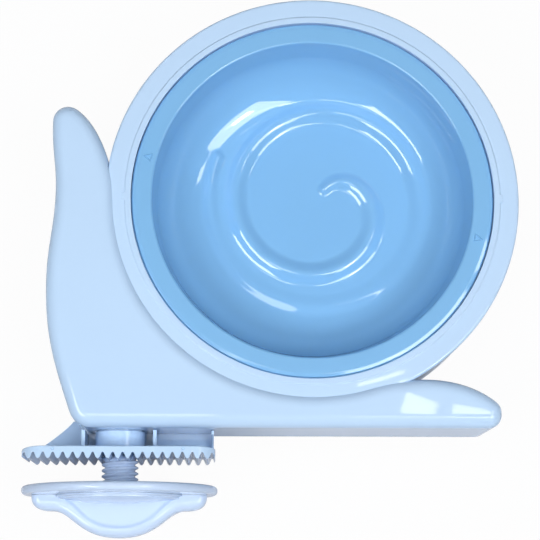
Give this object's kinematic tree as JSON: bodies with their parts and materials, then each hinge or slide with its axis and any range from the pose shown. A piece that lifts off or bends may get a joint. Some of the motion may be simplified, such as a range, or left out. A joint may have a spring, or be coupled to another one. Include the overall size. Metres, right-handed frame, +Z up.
{
  "type": "hanging pet bowl",
  "caption": "Snail-shaped plastic holder with a twist-lock slow-feeding bowl and a screw clamp that hangs it on cage wires.",
  "frame": {"origin": "on the clamp screw's axis, in the plane of the toothed jaw's tooth tips, where the cage wires lie", "axes": "+Z up out of the bowl, -Y from the jaw towards the cage side and the knob, +X along the snail's tail"},
  "size_m": [0.1985, 0.2177, 0.078],
  "materials": {
    "holder_plastic": "glossy moulded plastic, pale blue",
    "bowl_plastic": "glossy moulded plastic, mid blue",
    "clamp_plastic": "glossy moulded plastic, very pale blue"
  },
  "bodies": {
    "holder": {"snail_body": "holder_plastic", "shell_ring": "holder_plastic", "clamp_jaw": "holder_plastic"},
    "bowl": {"feeding_bowl": "bowl_plastic"},
    "disc": {"pressure_disc": "clamp_plastic"},
    "knob": {"wing_knob": "clamp_plastic", "clamp_screw": "clamp_plastic"}
  },
  "joints": [
    {"name": "bowl_twist", "type": "hinge", "parent": "holder", "child": "bowl", "pos_m": [0.0765, 0.1044, 0], "axis": [0, 0, 1], "range_deg": [0, 14]},
    {"name": "clamp_slide", "type": "slide", "parent": "holder", "child": "disc", "axis": [0, 1, 0], "range_m": [-0.0078, 0.0078]},
    {"name": "knob_turn", "type": "hinge", "parent": "disc", "child": "knob", "pos_m": [0, 0, 0], "axis": [0, 1, 0], "range_deg": [-1200, 1200]}
  ],
  "couplings": [
    {"joint": "clamp_slide", "follows": "knob_turn", "m_per_rad": 0.00036606}
  ]
}
